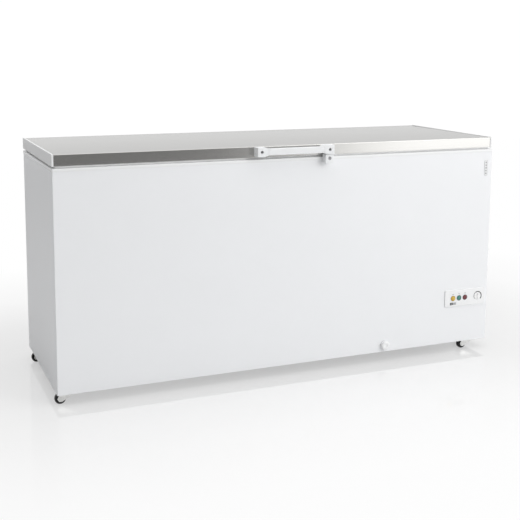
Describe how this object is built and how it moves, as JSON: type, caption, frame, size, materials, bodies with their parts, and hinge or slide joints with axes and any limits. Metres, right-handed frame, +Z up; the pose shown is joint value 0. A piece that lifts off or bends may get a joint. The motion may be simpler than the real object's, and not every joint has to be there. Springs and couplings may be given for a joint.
{
  "type": "chest freezer",
  "caption": "Long white chest freezer with a hinged stainless-steel lid, bar handle with key lock, control panel, drain, hanging wire baskets and swivel castors.",
  "frame": {"origin": "on the floor, under the middle of the freezer's bounding box", "axes": "+X to the freezer's right as seen from the front, -Y to the front, +Z up"},
  "size_m": [1.8065, 0.66, 0.891],
  "materials": {
    "painted_white": "satin enamel",
    "rear_sheet": "zinc-coated sheet with thin paint",
    "zinc_sheet": "spangled zinc",
    "lining": "embossed white sheet",
    "foam": "rigid foam",
    "white_plastic": "gloss",
    "trim_plastic": "satin",
    "stainless": "brushed lengthwise",
    "gasket_rubber": "soft vinyl",
    "black_paint": "satin black",
    "copper_tube": "drawn",
    "black_rubber": "matt",
    "black_plastic": "matt",
    "grey_plastic": "matt",
    "zinc_steel": "bright zinc",
    "chrome": "polished",
    "amber_lens": "translucent",
    "green_lens": "translucent",
    "red_lens": "translucent",
    "basket_wire": "plastic-dipped",
    "badge_metal": "satin"
  },
  "bodies": {
    "cabinet": {"outer_shell": "painted_white", "rear_panel": "rear_sheet", "base_panel": "zinc_sheet", "compressor_tray": "zinc_sheet", "machine_room_lining": "zinc_sheet", "compressor_grille": "grey_plastic", "cable_inlet": "black_rubber", "insulation_foam": "foam", "inner_liner": "lining", "rim_trim": "white_plastic", "evaporator_coil": "zinc_steel", "condenser_coil": "zinc_steel", "drain_pipe": "white_plastic", "compressor": "black_paint", "compressor_mounts": "black_rubber", "relay_box": "black_plastic", "filter_drier": "copper_tube", "refrigerant_pipes": "copper_tube", "control_bezel": "white_plastic", "control_box": "grey_plastic", "thermostat_body": "grey_plastic", "power_lamp": "green_lens", "alarm_lamp": "red_lens", "blank_badge": "badge_metal", "lock_housing": "trim_plastic", "cabinet_screws": "zinc_steel", "hinge_base_left": "zinc_steel", "hinge_base_right": "zinc_steel", "hinge_pins": "zinc_steel", "hinge_springs": "zinc_steel", "castor_plates": "zinc_steel"},
    "lid": {"lid_skin": "stainless", "lid_end_trim_left": "trim_plastic", "lid_end_trim_right": "trim_plastic", "lid_foam": "foam", "lid_inner_panel": "white_plastic", "lid_gasket": "gasket_rubber", "handle_block_left": "trim_plastic", "handle_block_right": "trim_plastic", "handle_bar": "white_plastic", "lock_keeper": "zinc_steel", "hinge_arm_left": "zinc_steel", "hinge_arm_right": "zinc_steel", "lid_screws": "zinc_steel"},
    "lock_cylinder": {"lock_barrel": "chrome", "lock_cam": "zinc_steel"},
    "thermostat_dial": {"thermostat_knob": "white_plastic"},
    "freeze_button": {"fast_freeze_button": "amber_lens"},
    "drain_cap_body": {"drain_cap": "white_plastic"},
    "tub_plug_body": {"tub_plug": "white_plastic"},
    "left_basket": {"basket_left": "basket_wire"},
    "right_basket": {"basket_right": "basket_wire"},
    "front_left_castor": {"castor_fork_front_left": "zinc_steel"},
    "front_left_wheel": {"castor_wheel_front_left": "black_plastic"},
    "front_right_castor": {"castor_fork_front_right": "zinc_steel"},
    "front_right_wheel": {"castor_wheel_front_right": "black_plastic"},
    "rear_left_castor": {"castor_fork_rear_left": "zinc_steel"},
    "rear_left_wheel": {"castor_wheel_rear_left": "black_plastic"},
    "rear_right_castor": {"castor_fork_rear_right": "zinc_steel"},
    "rear_right_wheel": {"castor_wheel_rear_right": "black_plastic"}
  },
  "joints": [
    {"name": "lid_hinge", "type": "hinge", "parent": "cabinet", "child": "lid", "pos_m": [0, 0.322, 0.846], "axis": [-1, 0, 0], "range_deg": [0, 85], "stiffness_Nm_per_rad": 20, "springref_deg": 85.94},
    {"name": "key_turn", "type": "hinge", "parent": "cabinet", "child": "lock_cylinder", "pos_m": [0.139, -0.32, 0.838], "axis": [0, 1, 0], "range_deg": [0, 90]},
    {"name": "thermostat_turn", "type": "hinge", "parent": "cabinet", "child": "thermostat_dial", "pos_m": [0.85, -0.3, 0.228], "axis": [0, 1, 0], "range_deg": [-135, 135]},
    {"name": "fast_freeze_press", "type": "slide", "parent": "cabinet", "child": "freeze_button", "axis": [0, 1, 0], "range_m": [0, 0.002], "stiffness_N_per_m": 400},
    {"name": "drain_cap_pull", "type": "slide", "parent": "cabinet", "child": "drain_cap_body", "axis": [0, -1, 0], "range_m": [0, 0.045]},
    {"name": "tub_plug_lift", "type": "slide", "parent": "cabinet", "child": "tub_plug_body", "axis": [0, 0, 1], "range_m": [0, 0.05]},
    {"name": "left_basket_slide", "type": "slide", "parent": "cabinet", "child": "left_basket", "axis": [1, 0, 0], "range_m": [0, 0.45]},
    {"name": "right_basket_slide", "type": "slide", "parent": "cabinet", "child": "right_basket", "axis": [-1, 0, 0], "range_m": [0, 0.45]},
    {"name": "front_left_swivel", "type": "hinge", "parent": "cabinet", "child": "front_left_castor", "pos_m": [-0.843, -0.268, 0.047], "axis": [0, 0, 1], "continuous": true},
    {"name": "front_left_roll", "type": "hinge", "parent": "front_left_castor", "child": "front_left_wheel", "pos_m": [-0.885, -0.268, 0.02], "axis": [0, 1, 0], "continuous": true},
    {"name": "front_right_swivel", "type": "hinge", "parent": "cabinet", "child": "front_right_castor", "pos_m": [0.843, -0.268, 0.047], "axis": [0, 0, 1], "continuous": true},
    {"name": "front_right_roll", "type": "hinge", "parent": "front_right_castor", "child": "front_right_wheel", "pos_m": [0.801, -0.268, 0.02], "axis": [0, 1, 0], "continuous": true},
    {"name": "rear_left_swivel", "type": "hinge", "parent": "cabinet", "child": "rear_left_castor", "pos_m": [-0.843, 0.216, 0.047], "axis": [0, 0, 1], "continuous": true},
    {"name": "rear_left_roll", "type": "hinge", "parent": "rear_left_castor", "child": "rear_left_wheel", "pos_m": [-0.885, 0.216, 0.02], "axis": [0, 1, 0], "continuous": true},
    {"name": "rear_right_swivel", "type": "hinge", "parent": "cabinet", "child": "rear_right_castor", "pos_m": [0.843, 0.216, 0.047], "axis": [0, 0, 1], "continuous": true},
    {"name": "rear_right_roll", "type": "hinge", "parent": "rear_right_castor", "child": "rear_right_wheel", "pos_m": [0.801, 0.216, 0.02], "axis": [0, 1, 0], "continuous": true}
  ]
}
